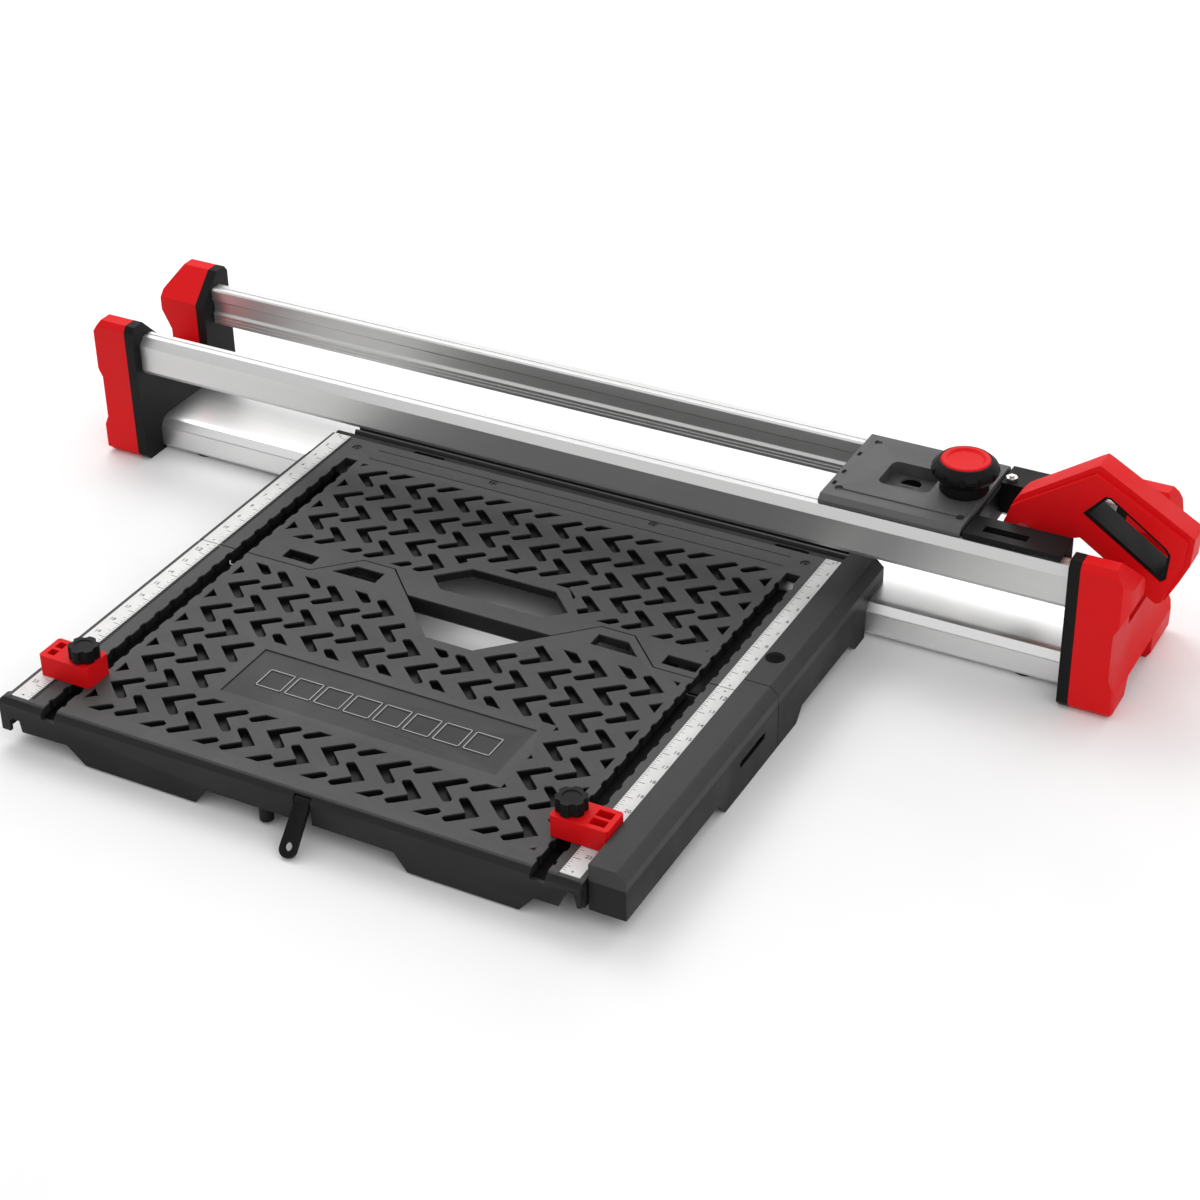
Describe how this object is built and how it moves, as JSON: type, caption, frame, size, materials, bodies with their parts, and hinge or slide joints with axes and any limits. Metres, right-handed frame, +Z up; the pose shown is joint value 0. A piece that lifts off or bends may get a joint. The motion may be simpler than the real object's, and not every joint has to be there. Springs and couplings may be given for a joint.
{
  "type": "manual tile cutter",
  "caption": "Manual rail tile cutter with a gridded black table, aluminium rails, red end caps and a sliding scoring carriage with a loop handle.",
  "frame": {"origin": "on the standing surface, below the middle of the object's bounding box", "axes": "+X along the rails towards the parked carriage, +Y away from the user, +Z up"},
  "size_m": [1.283, 0.7468, 0.238],
  "materials": {
    "rail_aluminium": "satin extruded",
    "black_plastic": "matte moulded",
    "charcoal_plastic": "fine textured",
    "red_plastic": "semi-gloss moulded",
    "scale_metal": "printed satin",
    "zinc_steel": "zinc plated",
    "black_steel": "black oxide",
    "cover_plastic": "fine textured",
    "rubber_black": "matte",
    "glide_nylon": "matte",
    "brass_wheel": "ground edge"
  },
  "bodies": {
    "frame": {"base_extrusion": "rail_aluminium", "front_rail": "rail_aluminium", "rear_rail": "rail_aluminium", "left_bracket": "black_plastic", "right_bracket": "black_plastic", "left_end_cap": "red_plastic", "right_end_cap": "red_plastic", "bracket_bolts": "black_steel", "base_feet": "rubber_black", "anvil_strip": "black_steel", "rear_pad": "rubber_black", "rear_deck": "charcoal_plastic", "grab_bar_grip": "rubber_black", "rear_left_scale": "scale_metal", "rear_right_scale": "scale_metal", "rear_fence": "charcoal_plastic", "rear_deck_screws": "black_steel"},
    "front_table": {"front_deck": "charcoal_plastic", "front_left_scale": "scale_metal", "front_right_scale": "scale_metal", "front_fence": "charcoal_plastic", "name_panel": "charcoal_plastic", "front_feet": "rubber_black", "lever_pin": "zinc_steel", "guide_rods": "zinc_steel"},
    "latch_lever": {"support_lever": "black_plastic"},
    "left_stop": {"left_stop_block": "red_plastic", "left_stop_clamp": "black_plastic", "left_stop_stud": "zinc_steel"},
    "left_knob": {"left_stop_knob": "black_plastic"},
    "right_stop": {"right_stop_block": "red_plastic", "right_stop_clamp": "black_plastic", "right_stop_stud": "zinc_steel"},
    "right_knob": {"right_stop_knob": "black_plastic"},
    "carriage": {"carriage_frame": "black_plastic", "carriage_cover": "cover_plastic", "cover_screws": "black_steel", "glide_pads": "glide_nylon", "handle_pivot_pin": "zinc_steel", "cheek_stud": "zinc_steel", "pivot_spacers": "zinc_steel"},
    "depth_knob": {"pressure_knob": "black_plastic", "pressure_knob_cap": "red_plastic", "pressure_spindle": "zinc_steel"},
    "wheel_holder": {"wheel_post": "zinc_steel", "wheel_axle": "zinc_steel"},
    "cutting_wheel": {"scoring_wheel": "brass_wheel"},
    "handle": {"push_handle": "red_plastic", "handle_grip_insert": "black_plastic", "breaker_foot": "black_plastic", "breaker_pads": "rubber_black"}
  },
  "joints": [
    {"name": "table_pull_out", "type": "slide", "parent": "frame", "child": "front_table", "axis": [0, -1, 0], "range_m": [0, 0.075]},
    {"name": "latch_swing", "type": "hinge", "parent": "front_table", "child": "latch_lever", "pos_m": [-0.0155, -0.33474, 0.044], "axis": [-1, 0, 0], "range_deg": [-12, 75]},
    {"name": "left_stop_slide", "type": "slide", "parent": "front_table", "child": "left_stop", "axis": [0, 1, 0], "range_m": [-0.03, 0.235]},
    {"name": "left_stop_knob_turn", "type": "hinge", "parent": "left_stop", "child": "left_knob", "pos_m": [-0.3125, -0.27164, 0.085], "axis": [0, 0, 1], "range_deg": [0, 300]},
    {"name": "right_stop_slide", "type": "slide", "parent": "front_table", "child": "right_stop", "axis": [0, 1, 0], "range_m": [-0.03, 0.235]},
    {"name": "right_stop_knob_turn", "type": "hinge", "parent": "right_stop", "child": "right_knob", "pos_m": [0.2365, -0.27164, 0.085], "axis": [0, 0, 1], "range_deg": [0, 300]},
    {"name": "carriage_slide", "type": "slide", "parent": "frame", "child": "carriage", "axis": [-1, 0, 0], "range_m": [0, 0.82]},
    {"name": "depth_knob_turn", "type": "hinge", "parent": "carriage", "child": "depth_knob", "pos_m": [0.3965, 0.27836, 0.19], "axis": [0, 0, 1], "range_deg": [0, 1200]},
    {"name": "wheel_post_feed", "type": "slide", "parent": "carriage", "child": "wheel_holder", "axis": [0, 0, -1], "range_m": [0, 0.0101]},
    {"name": "wheel_spin", "type": "hinge", "parent": "wheel_holder", "child": "cutting_wheel", "pos_m": [0.3965, 0.27836, 0.08], "axis": [0, 1, 0], "continuous": true},
    {"name": "handle_lift", "type": "hinge", "parent": "carriage", "child": "handle", "pos_m": [0.4685, 0.27836, 0.148], "axis": [0, -1, 0], "range_deg": [0, 45]}
  ],
  "couplings": [
    {"joint": "wheel_post_feed", "follows": "depth_knob_turn", "m_per_rad": 0.00047746}
  ]
}
